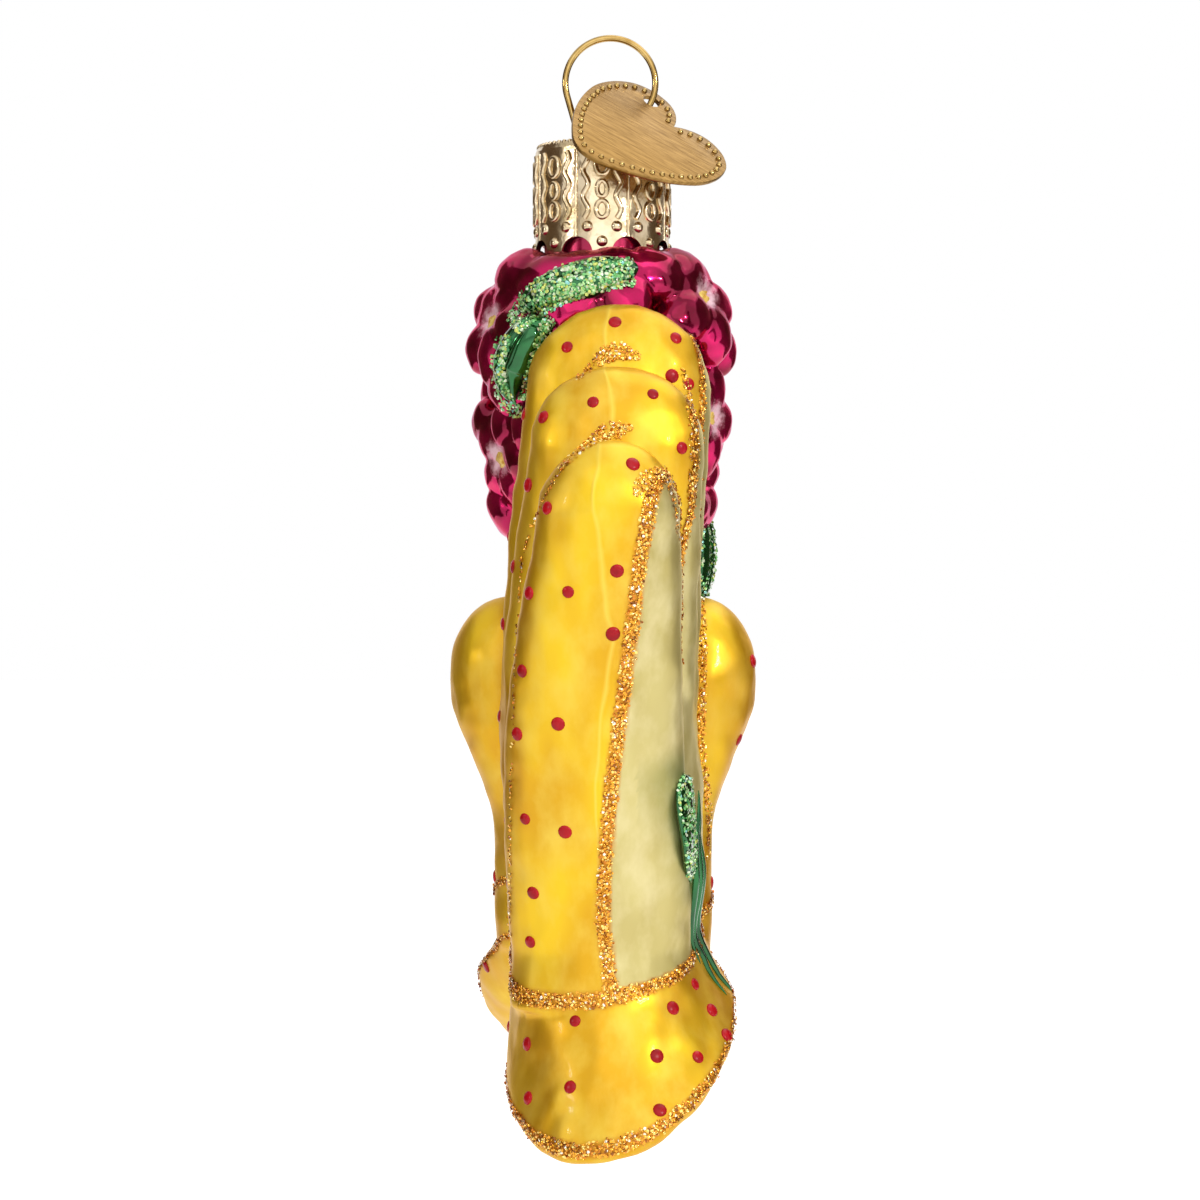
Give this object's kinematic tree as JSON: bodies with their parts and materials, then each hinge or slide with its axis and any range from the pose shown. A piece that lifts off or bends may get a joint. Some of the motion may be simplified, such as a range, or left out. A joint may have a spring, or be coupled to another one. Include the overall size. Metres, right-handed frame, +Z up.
{
  "type": "gardening gloves ornament",
  "caption": "Blown-glass hanging ornament: a pair of gardening gloves holds a bunch of flowers under a metal crown cap with a wire loop and a heart tag.",
  "frame": {"origin": "inside top of the wire hanging loop, the point that a hook carries", "axes": "+Z up along the ornament's height; +X to the front, the palm side of the near glove; +Y away from the near glove, towards the far one"},
  "size_m": [0.0276, 0.0566, 0.098],
  "materials": {
    "hanger_brass": "drawn, polished",
    "cap_gold": "pressed, champagne plated",
    "tag_gold": "stamped, brushed",
    "neck_glass": "silvered inside, lacquered",
    "petal_glass": "silvered inside, transparent lacquer",
    "pollen_glass": "frosted lacquer",
    "leaf_glass": "transparent lacquer with glitter",
    "glove_yellow": "satin pearl lacquer",
    "glove_cream": "satin pearl lacquer",
    "sprig_green": "lacquer with glitter",
    "glitter_gold": "glitter in clear lacquer"
  },
  "bodies": {
    "hanger": {"hanger_wire": "hanger_brass", "crown_cap": "cap_gold"},
    "tag": {"heart_tag": "tag_gold"},
    "glass": {"glass_neck": "neck_glass", "flower_bunch": "petal_glass", "flower_hearts": "pollen_glass", "bouquet_leaves": "leaf_glass", "stem_bundle": "leaf_glass", "near_hand": "glove_yellow", "near_palm": "glove_cream", "near_thumb": "glove_yellow", "near_cuff": "glove_yellow", "near_sprig": "sprig_green", "near_piping": "glitter_gold", "far_hand": "glove_yellow", "far_palm": "glove_cream", "far_thumb": "glove_yellow", "far_cuff": "glove_yellow", "far_sprig": "sprig_green", "far_piping": "glitter_gold"}
  },
  "joints": [
    {"name": "tag_lift", "type": "hinge", "parent": "hanger", "child": "tag", "pos_m": [0.00364, 0, -0.00553], "axis": [-0.848, -0.5299, 0], "range_deg": [0, 60]},
    {"name": "glass_pull", "type": "slide", "parent": "hanger", "child": "glass", "axis": [0, 0, -1], "range_m": [0, 0.02]}
  ]
}
